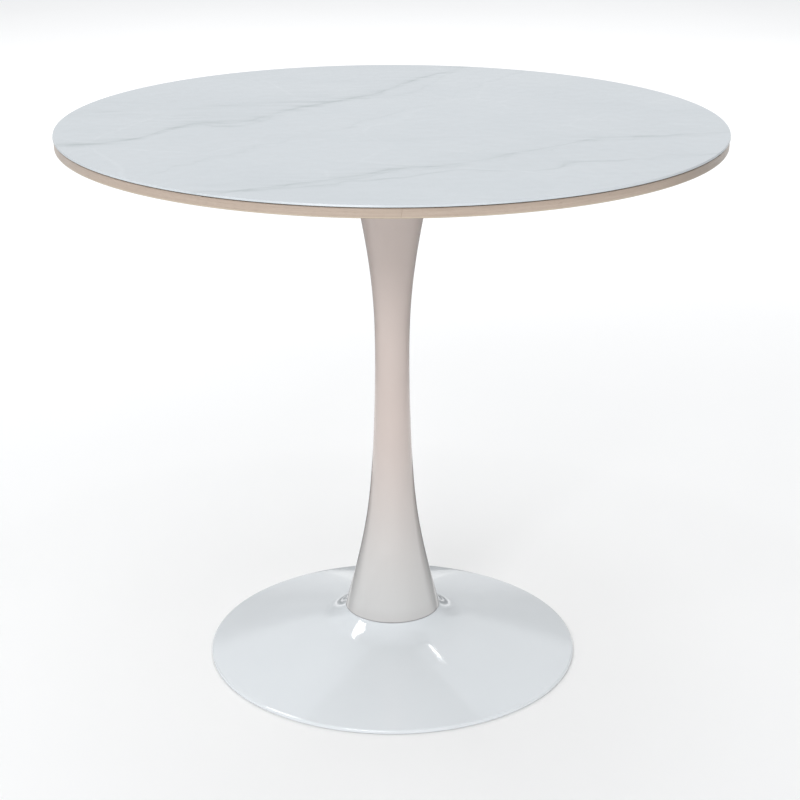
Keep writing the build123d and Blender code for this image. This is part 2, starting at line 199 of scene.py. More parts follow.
def smooth_line(knots, values, places):
    """A natural cubic through the knots: the second derivatives solve one banded system, and between two
    knots the value is the usual cubic in the distance to each."""
    h = np.diff(knots)
    size = len(knots)
    system, right = np.eye(size), np.zeros(size)
    inner = np.arange(1, size - 1)
    system[inner, inner - 1], system[inner, inner + 1] = h[:-1], h[1:]
    system[inner, inner] = 2 * (h[:-1] + h[1:])
    right[inner] = 6.0 * np.diff(np.diff(values) / h)
    bend = np.linalg.solve(system, right)
    k = np.clip(np.searchsorted(knots, places) - 1, 0, size - 2)
    a, b = knots[k + 1] - places, places - knots[k]
    cubic = (bend[k] * a**3 + bend[k + 1] * b**3) / (6 * h[k])
    lower = (values[k] / h[k] - bend[k] * h[k] / 6) * a
    return cubic + lower + (values[k + 1] / h[k] - bend[k + 1] * h[k] / 6) * b


# %% [markdown]
# ## Mixing finishes
# A finish here is one Principled shader fed by noise, wave and cell patterns in metres. Numbers that are the
# same all over a surface go straight onto the shader's sockets; only what changes from place to place is
# linked. `Finish` keeps the node writing short: most methods add one node and return its output. A noise
# rarely leaves the range from 0.3 to 0.7, so tints and roughness are spread over that range.

# %% Finish helper
NOISE_LOW, NOISE_HIGH = 0.3, 0.7


class Finish:
    """A material being mixed: sockets are set by value, or linked when the value is another output."""

    def __init__(self, title, **constants):
        self.material = bpy.data.materials.new(title)
        self.material.use_nodes = True
        self.tree = self.material.node_tree
        self.shader = self.tree.nodes["Principled BSDF"]
        for socket, value in constants.items():
            self.shader.inputs[socket.replace("_", " ")].default_value = value
        self.place = self.tree.nodes.new("ShaderNodeTexCoord").outputs["Object"]

    def add(self, kind, inputs, result=0, **settings):
        made = self.tree.nodes.new("ShaderNode" + kind)
        for key, value in settings.items():
            setattr(made, key, value)
        for key, value in inputs.items():
            if isinstance(value, bpy.types.NodeSocket):
                self.tree.links.new(value, made.inputs[key])
            else:
                made.inputs[key].default_value = value
        return made.outputs[result]

    def feed(self, socket, value):
        self.tree.links.new(value, self.shader.inputs[socket])

    def colour(self, value):
        self.feed("Base Color", value)

    def math(self, operation, a, b=0.0, c=0.0):
        return self.add("Math", {0: a, 1: b, 2: c}, operation=operation)

    def times(self, a, b):
        return self.math("MULTIPLY", a, b)

    def stretch(self, scale, place=None, turn=(0.0, 0.0, 0.0)):
        return self.add("Mapping", {"Vector": place or self.place, "Scale": scale, "Rotation": turn})

    def noise(self, scale, detail=3.0, rough=0.5, place=None, result="Fac"):
        inputs = {"Vector": place or self.place, "Scale": scale, "Detail": detail, "Roughness": rough}
        return self.add("TexNoise", inputs, result)

    def span(self, value, low, high, to_low=0.0, to_high=1.0):
        """A soft step: to_low at low and to_high at high. Low may be the larger of the two."""
        inputs = {"Value": value, "From Min": low, "From Max": high, "To Min": to_low, "To Max": to_high}
        return self.add("MapRange", inputs, interpolation_type="SMOOTHSTEP")

    def tint(self, amount, stops):
        """A colour that runs through (place, colour) stops as the amount goes from 0 to 1."""
        made = self.tree.nodes.new("ShaderNodeValToRGB")
        ramp = made.color_ramp.elements
        while len(ramp) < len(stops):
            ramp.new(0.5)
        for element, (spot, colour) in zip(ramp, stops):
            element.position, element.color = spot, (*colour, 1.0)
        self.tree.links.new(amount, made.inputs["Fac"])
        return made.outputs["Color"]

    def tones(self, noise, *colours):
        spots = np.linspace(NOISE_LOW, NOISE_HIGH, len(colours)).tolist()
        return self.tint(noise, list(zip(spots, colours)))

    def mix(self, amount, under, over, most=None):
        """One colour laid over another: amount is the share of the upper one, and most scales it."""
        if most is not None:
            amount = self.times(amount, most)
        under, over = (v if isinstance(v, bpy.types.NodeSocket) else (*v, 1.0) for v in (under, over))
        return self.add("Mix", {0: amount, 6: under, 7: over}, 2, data_type="RGBA")

    def bump(self, height, depth, below=None):
        inputs = {"Height": height, "Distance": depth, "Strength": 1.0}
        if below is not None:
            inputs["Normal"] = below
        return self.add("Bump", inputs)

    def relief(self, height, depth, below=None):
        self.feed("Normal", self.bump(height, depth, below))

    def rough(self, noise, low, high):
        self.feed("Roughness", self.span(noise, NOISE_LOW, NOISE_HIGH, low, high))

    def radius(self):
        """Distance from the column's axis, in metres."""
        flat = self.stretch((1.0, 1.0, 0.0))
        return self.add("VectorMath", {0: flat}, "Value", operation="LENGTH")

    def height(self):
        return self.add("SeparateXYZ", {"Vector": self.place}, "Z")

    def dress(self, piece):
        piece.data.materials.clear()
        piece.data.materials.append(self.material)


def dress_node(finish, *names):
    """Give CAD nodes a finish through their material slots; their meshes stay as they are."""
    for name in names:
        nodes[name].material_slots[0].material = finish.material


# %% [markdown]
# ## Stone top
# The top is a 3 mm sintered stone slab with a polished arris. Its face is a cool white with two long soft
# grey veins that run from front left to back right, a branch, a short fan and thinner threads beside them,
# pale clouds and a faint net of healed cracks. A vein is a curve y = f(x) held by a curve node, and its
# darkness falls off with the distance |y - f(x)|. Noise first shifts x and y a few millimetres, so no line
# is perfectly smooth.

# %% Stone finish
TOP_SPAN = 0.9
VEIN_LONG = [(-440, -130), (-350, -110), (-310, -85), (-270, -20), (-235, 5), (-200, 0), (-155, 55),
             (-110, 115), (-50, 175), (-15, 210), (35, 305), (130, 430)]
VEIN_FRONT = [(-200, -380), (-110, -330), (-35, -285), (0, -255), (85, -225), (165, -160), (210, -125),
              (260, -90), (350, -70), (440, -50)]
VEIN_BRANCH = [(-200, -360), (-110, -335), (-20, -305), (65, -265), (120, -245), (160, -238), (205, -213),
               (290, -200), (400, -160)]
VEIN_FAN_A = [(-60, 160), (20, 200), (50, 260), (75, 330), (100, 410)]
VEIN_FAN_B = [(20, 90), (70, 160), (105, 240), (150, 320), (200, 390)]

stone = Finish("marble_face", IOR=1.5, Coat_Weight=0.25, Coat_Roughness=0.08)


def curve_height(finish, along, line):
    """The y of a line, listed in millimetres, at each x in metres. The curve node works on 0 to 1,
    so both are divided by the span and shifted by a half, and the result is brought back."""
    made = finish.tree.nodes.new("ShaderNodeFloatCurve")
    curve = made.mapping.curves[0]
    while len(curve.points) < len(line):
        curve.points.new(0.5, 0.5)
    for point, (x, y) in zip(curve.points, line):
        point.location = (x * MM / TOP_SPAN + 0.5, y * MM / TOP_SPAN + 0.5)
    made.mapping.update()
    share = finish.math("MULTIPLY_ADD", along, 1.0 / TOP_SPAN, 0.5)
    finish.tree.links.new(share, made.inputs["Value"])
    return finish.math("MULTIPLY_ADD", made.outputs[0], TOP_SPAN, -0.5 * TOP_SPAN)


def vein(finish, x, y, line, core, halo, lean):
    """Darkness of a vein: a thin core and a wider halo about the line, both fading with distance. lean is
    the cosine of the line's slope, which turns an upright distance into one across the line."""
    away = finish.times(finish.math("SUBTRACT", y, curve_height(finish, x, line)), lean)
    side = finish.math("ABSOLUTE", away)
    thin = finish.span(side, 0.0, core, 1.0, 0.0)
    wide = finish.span(side, 0.0, halo, 1.0, 0.0)
    cloud = finish.times(finish.span(away, 0.0, 6 * halo, 1.0, 0.0), finish.span(away, -halo, 0.0))
    return thin, wide, cloud


def stone_pattern(finish):
    """The shifted place and the darkness of all veins together. A twin is a vein's y moved by a slow noise,
    so the same curve is drawn again as a thread that wanders beside the first."""
    drift = finish.noise(9.0, 4.0, 0.55, result="Color")
    shift = finish.add("VectorMath", {0: drift, 1: (0.5, 0.5, 0.5)}, operation="SUBTRACT")
    shift = finish.add("VectorMath", {0: shift, "Scale": 0.035}, operation="SCALE")
    spot = finish.add("VectorMath", {0: finish.place, 1: shift}, operation="ADD")
    x, y = (finish.add("SeparateXYZ", {"Vector": spot}, axis) for axis in "XY")
    fade = finish.span(finish.noise(11.0, 2.0), 0.34, 0.60, 0.30, 1.0)
    smoke_place = finish.stretch((6.0, 80.0, 1.0), spot, (0.0, 0.0, math.radians(-40.0)))
    smoke = finish.span(finish.noise(1.0, 5.0, 0.6, smoke_place), 0.34, 0.66)
    near = finish.math("MULTIPLY_ADD", finish.noise(13.0, 2.0), 0.075, -0.030)
    far = finish.math("MULTIPLY_ADD", finish.noise(19.0, 2.0, 0.5, spot), -0.090, 0.055)
    near_twin, far_twin = finish.math("ADD", y, near), finish.math("ADD", y, far)
    total = None
    recipes = [
        (y, VEIN_LONG, 0.0052, 0.022, 0.66, 1.0),
        (near_twin, VEIN_LONG, 0.0032, 0.014, 0.66, 0.60),
        (y, VEIN_FRONT, 0.0042, 0.017, 0.84, 0.90),
        (far_twin, VEIN_FRONT, 0.0026, 0.011, 0.84, 0.45),
        (near_twin, VEIN_BRANCH, 0.0034, 0.012, 0.93, 0.75),
        (y, VEIN_FAN_A, 0.0030, 0.014, 0.55, 0.50),
        (far_twin, VEIN_FAN_B, 0.0024, 0.012, 0.70, 0.38),
    ]
    for across, line, core, halo, lean, depth in recipes:
        thin, wide, cloud = vein(finish, x, across, line, core, halo, lean)
        smoky = finish.times(finish.math("MULTIPLY_ADD", cloud, 0.30, wide), smoke)
        sum_up = finish.math("MULTIPLY_ADD", thin, 0.27, finish.times(smoky, 0.30))
        sum_up = finish.times(finish.times(sum_up, fade), depth)
        total = sum_up if total is None else finish.math("ADD", total, sum_up)
    return spot, finish.math("MINIMUM", total, 0.75)


spot, darkness = stone_pattern(stone)
clouds = stone.noise(5.0, 5.0, 0.6, spot)
broad_shade = stone.span(stone.noise(2.3, 1.0), 0.35, 0.65)
body = stone.tones(clouds, (0.575, 0.612, 0.635), (0.600, 0.636, 0.658), (0.622, 0.656, 0.676))
body = stone.mix(broad_shade, body, (0.555, 0.590, 0.612), 0.35)
along_veins = stone.stretch((3.0, 22.0, 1.0), spot, (0.0, 0.0, math.radians(-42.0)))
wisps = stone.span(stone.noise(1.0, 6.0, 0.62, along_veins), 0.56, 0.75)
body = stone.mix(wisps, body, (0.490, 0.530, 0.548), 0.30)
cells = stone.add("TexVoronoi", {"Vector": spot, "Scale": 6.0}, "Distance", feature="DISTANCE_TO_EDGE")
healed = stone.times(stone.span(cells, 0.0, 0.022, 1.0, 0.0), stone.span(clouds, 0.45, 0.6))
body = stone.mix(healed, body, (0.74, 0.77, 0.79), 0.20)
body = stone.mix(darkness, body, (0.330, 0.378, 0.382))
grit = stone.noise(1400.0, 2.0)
body = stone.mix(stone.span(grit, 0.35, 0.65, 0.0, 0.06), body, (0.48, 0.50, 0.51))
stone.colour(body)
stone.rough(stone.noise(60.0, 3.0), 0.20, 0.27)
stone.relief(grit, 0.000012, stone.bump(darkness, -0.00006))
print("stone nodes", len(stone.tree.nodes))

# %% [markdown]
# The slab is a disc whose top and bottom edges are rounded by 0.7 mm. It is turned from half an outline that
# starts and ends on the axis. Rings inside the disc keep its triangles short, so the flat face bakes well.

# %% Stone slab
slab_low, slab_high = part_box("marble_slab")
ARRIS = 0.7 * MM
slab_radius, slab_top, slab_bottom = slab_high.x, slab_high.z, slab_low.z
RINGS = np.linspace(0.0, 0.995, 9)
rim = eased_block(0.0, slab_radius, slab_top, slab_bottom, ARRIS, 7)
face = np.column_stack([RINGS * slab_radius, np.full(RINGS.size, slab_top)])
under = np.column_stack([RINGS[::-1] * slab_radius, np.full(RINGS.size, slab_bottom)])
slab = turned("stone_top", np.vstack([face, rim[1:-1], under]), 512)
stone.dress(fitted(slab, "table", "marble_face", "marble_slab"))

# %% [markdown]
# ## Glue line
# Between stone and wood lies a thin bed of grey adhesive, set back from the edge. It is seen only as a dark
# line. A turned ring is enough, with a slightly uneven colour and small pores.

# %% Glue line
glue = Finish("adhesive", IOR=1.5)
glue.colour(glue.tones(glue.noise(90.0, 4.0), (0.10, 0.09, 0.08), (0.20, 0.185, 0.17)))
glue.rough(glue.noise(300.0), 0.55, 0.75)
glue.relief(glue.noise(700.0, 4.0), 0.0001)
glue_low, glue_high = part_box("adhesive_bed")
GLUE_EASE = 0.15 * MM
bed = turned("glue_bed", eased_block(0.0, glue_high.x, glue_high.z, glue_low.z, GLUE_EASE, 4), 384)
glue.dress(fitted(bed, "table", "adhesive", "adhesive_bed"))

# %% [markdown]
# ## Wood edge
# A thin strip of beige wood is bent round the board and glued. Its grain runs along the strip, so the
# pattern must follow the surface: the piece gets a UV map in metres, u along the strip and v up it. The
# strip's two ends meet near the front in a short slanted joint. Its lower corner is eased, with a painted
# highlight along it over a dark line at the very edge, and painted shadow darkens the wood under the stone.

# %% Wood finish
wood = Finish("edge_wood", IOR=1.48, Coat_Weight=0.35, Coat_Roughness=0.22)
strip = wood.add("UVMap", {}, uv_map="along")
fibres = wood.noise(1.0, 5.0, 0.6, wood.stretch((14.0, 1900.0, 1.0), strip))
broad = wood.noise(1.0, 3.0, 0.5, wood.stretch((2.2, 160.0, 1.0), strip))
pores = wood.span(wood.noise(1.0, 2.0, 0.5, wood.stretch((110.0, 5200.0, 1.0), strip)), 0.60, 0.72)
tone = wood.tint(broad, [(0.25, (0.425, 0.335, 0.268)), (0.5, (0.465, 0.372, 0.300)),
                         (0.75, (0.505, 0.412, 0.338))])
tone = wood.mix(wood.span(fibres, 0.42, 0.62, 0.0, 0.45), tone, (0.370, 0.282, 0.216))
tone = wood.mix(pores, tone, (0.250, 0.180, 0.130), 0.5)
up = wood.add("SeparateXYZ", {"Vector": strip}, "Y")
# Painted highlight: a lighter line along the eased lower corner, where it catches light.
painted_highlight_line = (0.0018, 0.0009, 0.0, 0.55), (0.60, 0.52, 0.38)
dark_line = (0.0005, 0.0001, 0.0, 0.85), (0.23, 0.165, 0.12)
# Painted shadow: the wood is darkened just under the stone's overhang.
painted_shadow_under_stone = (0.0085, 0.0110, 0.0, 0.55), (0.36, 0.28, 0.225)
for reach, colour in (painted_highlight_line, dark_line, painted_shadow_under_stone):
    tone = wood.mix(wood.span(up, *reach), tone, colour)
wood.colour(tone)
wood.rough(fibres, 0.38, 0.55)
wood.relief(pores, -0.00008, wood.bump(fibres, 0.00005))
print("wood nodes", len(wood.tree.nodes))

# %% [markdown]
# ## Wood edge strip
# The strip's cross-section is a thin rectangle with two eased corners. It is carried round the board as a
# ring that stops short at the joint, and both ends are closed with a face, so the strip is a solid piece.

# %% Wood edge strip
BAND_THICKNESS = 0.8 * MM
BAND_EASE = 0.35 * MM
SEAM_ANGLE = math.radians(-88.6)
SEAM_HALF = 0.15 * MM
SEAM_SLANT = 1.6 * MM
band_low, band_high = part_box("edge_band")
band_radius, band_height = band_high.x, band_high.z - band_low.z
section = eased_block(band_radius - BAND_THICKNESS, band_radius, 0.0, band_height, BAND_EASE, 6)


def bent_strip(title, section, steps):
    """A strip bent into a ring that stops short at its joint. The ends slant, so the angle moves with the
    height too: t = seam + share of the way round + slant * height."""
    share = np.linspace(0.0, 1.0, steps)
    gap = SEAM_HALF / band_radius
    t = SEAM_ANGLE + gap + share * (2.0 * math.pi - 2.0 * gap)
    r, h = section[:, :1], section[:, 1:]
    lean = SEAM_SLANT / band_radius * (h / band_height - 0.5)
    angle = t[None, :] + lean
    uv = np.stack([angle * band_radius, h + 0.0 * angle], -1)
    faces = grid_faces(len(section), steps, close_rows=True, close_columns=False)
    count = len(section) * steps
    faces += [tuple(range(0, count, steps)), tuple(range(steps - 1, count, steps))[::-1]]
    return shell_of(title, around(r, angle, h + band_low.z), faces, uv.reshape(-1, 2))


wood.dress(fitted(bent_strip("wood_edge", section, 480), "table", "edge_wood", "edge_band"))

# %% [markdown]
# ## Board, backing and inserts
# Under the stone is fibreboard, closed below by a pale balancing sheet. Fibreboard is pressed wood fibre:
# a fine felt of short light and dark flecks. The sheet is printed paper with a faint mottle. The CAD
# shapes are right as they are, so the nodes only get finishes.

# %% Board and backing finishes
board = Finish("board", IOR=1.4)
felt = board.noise(900.0, 4.0, 0.65)
board.colour(board.tones(felt, (0.26, 0.17, 0.10), (0.40, 0.29, 0.19), (0.52, 0.40, 0.28)))
board.rough(felt, 0.8, 0.95)
board.relief(felt, 0.0001)

backing = Finish("backing", IOR=1.45)
mottle = backing.noise(35.0, 4.0, 0.6)
threads = backing.span(backing.noise(1.0, 3.0, 0.6, backing.stretch((160.0, 1100.0, 1.0))), 0.55, 0.7)
paper = backing.tones(mottle, (0.50, 0.485, 0.46), (0.58, 0.565, 0.54))
paper = backing.mix(threads, paper, (0.42, 0.40, 0.375), 0.25)
STAIN_STARTS, STAIN_ENDS = 0.405, 0.4225
rim_stain = backing.span(backing.radius(), STAIN_STARTS, STAIN_ENDS, 0.0, 0.35)
backing.colour(backing.mix(rim_stain, paper, (0.40, 0.36, 0.31)))
backing.rough(mottle, 0.5, 0.62)
backing.relief(backing.noise(1300.0, 3.0), 0.00003)

yellow = Finish("insert_zinc", Metallic=1.0)
bloom = yellow.noise(240.0, 3.0)
yellow.colour(yellow.tones(bloom, (0.55, 0.47, 0.27), (0.68, 0.62, 0.45)))
yellow.rough(bloom, 0.28, 0.45)
yellow.relief(yellow.noise(1500.0), 0.00002)
dress_node(board, "core_board")
dress_node(backing, "backing_sheet")
dress_node(yellow, "threaded_inserts")

# %% [markdown]
# ## Gloss lacquer
# Column and base are sprayed white and baked. Sprayed lacquer is never quite flat: it has orange peel, low
# waves a few millimetres across, and here and there a dust nib. Two lacquers are mixed: a cool white for
# the base, and for the column a white that goes from neutral at the foot to warm higher up, painted warm
# bounce light and shade under the top. The column darkens a little just above the joint, a painted shadow
# line darkens its lowest millimetre, and near the floor shoes leave faint rub marks.

# %% Lacquer finishes
def lacquer(title, pale, deep, peel, rough):
    """White lacquer: two close tints by slow noise, orange peel as low waves, dust nibs as rare dots."""
    paint = Finish(title, IOR=1.5, Coat_Weight=0.6, Coat_Roughness=0.02, Coat_IOR=1.5)
    slow = paint.noise(7.0, 3.0)
    colour = paint.tones(slow, deep, pale)
    nibs = paint.add("TexVoronoi", {"Vector": paint.place, "Scale": 55.0}, "Distance")
    chance = paint.noise(21.0, 1.0)
    nib = paint.times(paint.span(nibs, 0.0, 0.035, 1.0, 0.0), paint.span(chance, 0.62, 0.66))
    colour = paint.mix(nib, colour, tuple(0.6 * c for c in deep), 0.35)
    waves = paint.noise(peel, 2.0, 0.4)
    paint.rough(paint.noise(28.0, 3.0), *rough)
    paint.relief(nib, 0.00012, paint.bump(waves, 0.000035))
    return paint, colour


# The column's warm, darker tint is painted warm bounce light and shade under the top; it fades to a neutral
# white towards the foot.
column_lacquer, column_tone_painted_light = lacquer("column_paint", (0.612, 0.519, 0.476), (0.588, 0.497, 0.454), 260.0, (0.09, 0.14))
level = column_lacquer.height()
neutral = column_lacquer.mix(column_lacquer.noise(7.0, 3.0), (0.608, 0.602, 0.590), (0.632, 0.626, 0.614))
# Painted shade: the lowest millimetre of the column is darkened as a shadow line at the joint.
painted_bounce_fade, darker_near_joint, painted_joint_shadow = (0.36, 0.05, 0.0, 1.0), (0.085, 0.066, 0.0, 0.25), (0.0657, 0.0649, 0.0, 0.75)
# The column is a little darker from 85 mm down to just above the joint.
for reach, tone in ((painted_bounce_fade, neutral), (darker_near_joint, (0.50, 0.47, 0.46)), (painted_joint_shadow, (0.26, 0.235, 0.250))):
    column_tone_painted_light = column_lacquer.mix(column_lacquer.span(level, *reach), column_tone_painted_light, tone)
column_lacquer.colour(column_tone_painted_light)

cool, cool_tone = lacquer("base_paint", (0.762, 0.790, 0.808), (0.739, 0.768, 0.787), 230.0, (0.06, 0.10))
scuff_place = cool.stretch((30.0, 30.0, 420.0))
scuffs = cool.span(cool.noise(1.0, 5.0, 0.7, scuff_place), 0.58, 0.70)
low_down = cool.span(cool.height(), 0.0085, 0.0015)
rubbed = cool.times(scuffs, low_down)
cool_tone = cool.mix(rubbed, cool_tone, (0.36, 0.35, 0.35), 0.45)
cool.colour(cool_tone)

powder = Finish("plate_paint", IOR=1.5)
pebble = powder.noise(1100.0, 2.0, 0.5)
powder.colour(powder.tones(powder.noise(30.0), (0.60, 0.60, 0.60), (0.66, 0.66, 0.655)))
powder.rough(pebble, 0.36, 0.48)
powder.relief(pebble, 0.00009)
dress_node(powder, "mounting_plate")
print("lacquer nodes", len(column_lacquer.tree.nodes), len(cool.tree.nodes))

# %% [markdown]
# ## Column
# The column is a steel tube with a waist, wide at its foot and head. Its line is read from the CAD mesh at
# even heights and joined by a natural cubic, so a glossy highlight runs down it without breaks. The wall is
# the same line moved 1.5 mm inwards, and both are turned together as one closed ring.

# %% Column tube
COLUMN_WALL = 1.5 * MM
COLUMN_KNOTS, COLUMN_ROWS = 45, 220
FACES_OUT = 0.2


def outer_line(node, heights):
    """Radius of a turned CAD node at the given heights, from its corners whose normals face outwards."""
    mesh = nodes[node].data
    corners = np.empty(len(mesh.loops), np.int32)
    mesh.loops.foreach_get("vertex_index", corners)
    places = np.empty(len(mesh.vertices) * 3)
    mesh.vertices.foreach_get("co", places)
    normals = np.empty(len(mesh.loops) * 3)
    mesh.corner_normals.foreach_get("vector", normals)
    places, normals = places.reshape(-1, 3)[corners], normals.reshape(-1, 3)
    outwards = places[:, 0] * normals[:, 0] + places[:, 1] * normals[:, 1]
    shown = places[outwards > FACES_OUT * np.hypot(*places[:, :2].T)]
    levels, first = np.unique(np.round(shown[:, 2], 6), return_index=True)
    return np.interp(heights, levels, np.hypot(shown[first, 0], shown[first, 1]))


tube_low, tube_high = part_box("column_shell")
knots = np.linspace(tube_low.z, tube_high.z, COLUMN_KNOTS)
waist = outer_line("column_shell", knots)
heights = np.linspace(tube_low.z, tube_high.z, COLUMN_ROWS)
radii = smooth_line(knots, waist, heights)
outside = np.column_stack([radii, heights])
inside = np.column_stack([radii - COLUMN_WALL, heights])[::-1]
tube = turned("column_tube", np.vstack([outside, inside]), 192)
column_lacquer.dress(fitted(tube, "table", "column_paint", "column_shell"))
print("waist radius", round(float(radii.min()), 4), "foot radius", round(float(radii[0]), 4))

# %% [markdown]
# ## Trumpet base
# The base is spun from 2 mm sheet: a flat seat, a tight bend, a steep neck, a wide concave flare, a straight
# dome and a rolled rim. Its outer line is a list of corners with bend radii, and its inner line is the same
# corners moved one sheet thickness inwards. Four bolt holes are cut through the seat with a Boolean.

# %% Spun base
SHEET = 2.0 * MM
BASE_CORNERS = np.array([(13.0, 64.0), (65.2, 64.0), (79.53, 46.93), (252.0, 5.2), (252.0, 1.0)]) * MM
BASE_BENDS = np.array([0.0, 1.5, 62.0, 3.0, 0.0]) * MM
INNER_BENDS = np.array([0.0, 0.4, 64.0, 1.0, 0.0]) * MM
BEND_STEPS, OUTER_STEP, INNER_STEP = 26, 6.0 * MM, 12.0 * MM
BOLT_CIRCLE, BOLT_HOLE, CUT_LOW, CUT_HIGH = 45.0 * MM, 4.5 * MM, 0.058, 0.070
QUARTERS = np.radians([45.0, 135.0, 225.0, 315.0])


def moved_inwards(corners, distance):
    """The corners of a line moved sideways by a distance: each new corner is where its two moved lines
    cross, which is the old corner plus distance * (n1 + n2) / (1 + n1 . n2) for unit normals n1 and n2."""
    way = np.diff(corners, axis=0)
    normals = np.column_stack([way[:, 1], -way[:, 0]]) / np.linalg.norm(way, axis=1)[:, None]
    first, last = normals[:1], normals[-1:]
    before, after = np.vstack([first, normals]), np.vstack([normals, last])
    return corners + distance * (before + after) / (1.0 + np.sum(before * after, axis=1, keepdims=True))


def even_steps(line, longest):
    """The same line with extra points, so that no run between two points is longer than the given length."""
    runs = np.linalg.norm(np.diff(line, axis=0), axis=1)
    marks = np.concatenate([[0.0], np.cumsum(runs)])
    wanted = [np.linspace(a, b, max(1, math.ceil((b - a) / longest)), endpoint=False)
              for a, b in zip(marks, marks[1:])]
    wanted = np.append(np.concatenate(wanted), marks[-1])
    return np.column_stack([np.interp(wanted, marks, line[:, 0]), np.interp(wanted, marks, line[:, 1])])


def drilled(piece, circle, radius, angles, low, high):
    """Cut round holes with a Boolean modifier, then keep the finished mesh and drop the cutters."""
    pins = []
    for angle in angles:
        middle = (circle * math.cos(angle), circle * math.sin(angle))
        pins.append(turned("pin", [(0.0, low), (radius, low), (radius, high), (0.0, high)], 40, middle))
        cut = piece.modifiers.new("hole", "BOOLEAN")
        cut.operation, cut.solver, cut.object = "DIFFERENCE", "EXACT", pins[-1]
    bpy.context.view_layer.update()
    whole = piece.evaluated_get(bpy.context.evaluated_depsgraph_get())
    finished = bpy.data.meshes.new_from_object(whole)
    piece.modifiers.clear()
    piece.data = finished
    for pin in pins:
        bpy.data.objects.remove(pin)
    shade(finished)


dome_outside = rounded(BASE_CORNERS, BASE_BENDS, BEND_STEPS)
dome_inside = rounded(moved_inwards(BASE_CORNERS, SHEET), INNER_BENDS, BEND_STEPS)
wall = np.vstack([even_steps(dome_outside, OUTER_STEP), even_steps(dome_inside, INNER_STEP)[::-1]])
trumpet = turned("trumpet_base", wall, 288)
drilled(trumpet, BOLT_CIRCLE, BOLT_HOLE, QUARTERS, CUT_LOW, CUT_HIGH)
cool.dress(fitted(trumpet, "table", "base_paint", "base_shell"))
print("inner line starts", (dome_inside[0] / MM).round(2), "ends", (dome_inside[-1] / MM).round(2))

# %% [markdown]
# ## Seal at the joint
# A silicone ring sits between the column's foot and the base, set back a little. Its near-black grey is
# partly the silicone's colour and partly painted shadow in the joint, so the joint reads as one thin dark
# line. Its outer edge bulges slightly where the joint squeezes it.

# %% Silicone ring
seal = Finish("gasket_silicone", IOR=1.43)
# Partly painted shade: the near-black tones also stand for the shadow in the joint.
seal.colour(seal.tones(seal.noise(160.0, 3.0), (0.060, 0.054, 0.058), (0.095, 0.086, 0.091)))
seal.rough(seal.noise(420.0), 0.45, 0.6)
seal.relief(seal.noise(900.0), 0.00002)
SEAL_INNER = 56.0 * MM
seal_low, seal_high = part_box("column_gasket")
BULGE = 0.28 * MM
ring = turned("seal_ring", eased_block(SEAL_INNER, seal_high.x, seal_low.z, seal_high.z, BULGE, 5), 256)
seal.dress(fitted(ring, "table", "gasket_silicone", "column_gasket"))

# %% [markdown]
# ## Metals
# Zinc plating is a thin bright metal with a cloudy bloom and fine scratches; plain steel keeps a dark mill
# scale; a weld bead is brighter, with brown patches. These three use one helper with different tints and
# grain. Cast iron is rough from the sand mould, and its black primer rubs off along the edges.

# %% Metal finishes
def metal(title, deep, pale, grain, rough, depth, scratch=0.0, tarnish=0.0):
    """A bare or plated metal: tint and roughness follow a cloudy noise and bump follows a finer one.
    Scratches are a noise stretched fifty to one, and tarnish is brown patches of a broad noise."""
    made = Finish(title, Metallic=1.0)
    cloud = made.noise(grain, 4.0, 0.6)
    colour = made.tones(cloud, deep, pale)
    if scratch:
        place = made.stretch((3000.0, 60.0, 900.0), turn=(0.3, 0.2, 0.7))
        lines = made.span(made.noise(1.0, 2.0, 0.5, place), 0.6, 0.7)
        colour = made.mix(lines, colour, (0.83, 0.84, 0.85), scratch)
    if tarnish:
        colour = made.mix(made.span(made.noise(130.0), 0.45, 0.6, 0.0, tarnish), colour, (0.34, 0.25, 0.20))
    made.colour(colour)
    made.rough(cloud, *rough)
    made.relief(made.noise(grain * 6.0, 3.0, 0.6), depth)
    return made


zinc = metal("screw_zinc", (0.52, 0.54, 0.56), (0.70, 0.72, 0.74), 260.0, (0.24, 0.42), 0.00002, 0.4)
steel = metal("flange_steel", (0.20, 0.20, 0.21), (0.36, 0.355, 0.35), 120.0, (0.38, 0.60), 0.00005, 0.2)
bead = metal("weld_steel", (0.26, 0.25, 0.25), (0.48, 0.47, 0.46), 500.0, (0.25, 0.5), 0.00005, tarnish=0.6)

iron = Finish("cast_iron", IOR=1.5)
sand = iron.noise(420.0, 6.0, 0.65)
lumps = iron.noise(70.0, 3.0, 0.5)
pits = iron.add("TexVoronoi", {"Vector": iron.place, "Scale": 240.0}, "Distance")
pit = iron.span(pits, 0.10, 0.24, 1.0, 0.0)
iron_tone = iron.tones(lumps, (0.017, 0.017, 0.018), (0.036, 0.036, 0.038))
OUTER_WEAR, BORE_WEAR = (0.1775, 0.1800), (0.0722, 0.0700)
edges = iron.math("ADD", iron.span(iron.radius(), *OUTER_WEAR), iron.span(iron.radius(), *BORE_WEAR))
worn = iron.times(edges, iron.span(iron.noise(150.0, 5.0, 0.7), 0.50, 0.62))
iron_tone = iron.mix(worn, iron_tone, (0.16, 0.15, 0.145), 0.8)
rust = iron.span(iron.noise(24.0, 5.0, 0.7), 0.63, 0.74)
iron_tone = iron.mix(rust, iron_tone, (0.110, 0.050, 0.025), 0.5)
iron.colour(iron_tone)
iron.feed("Metallic", iron.times(worn, 0.7))
iron.rough(sand, 0.50, 0.74)
iron.relief(pit, -0.00022, iron.bump(sand, 0.00035, iron.bump(lumps, 0.0005)))
dress_node(iron, "counterweight")
dress_node(steel, "column_top_flange", "column_bottom_flange", "weld_nuts", "hub_plate")
dress_node(zinc, "top_screws", "top_screw_washers", "flange_bolts", "column_bolts", "column_bolt_washers")
dress_node(zinc, "column_spring_washers", "weight_washers", "weight_nuts", "leveller_bushes")
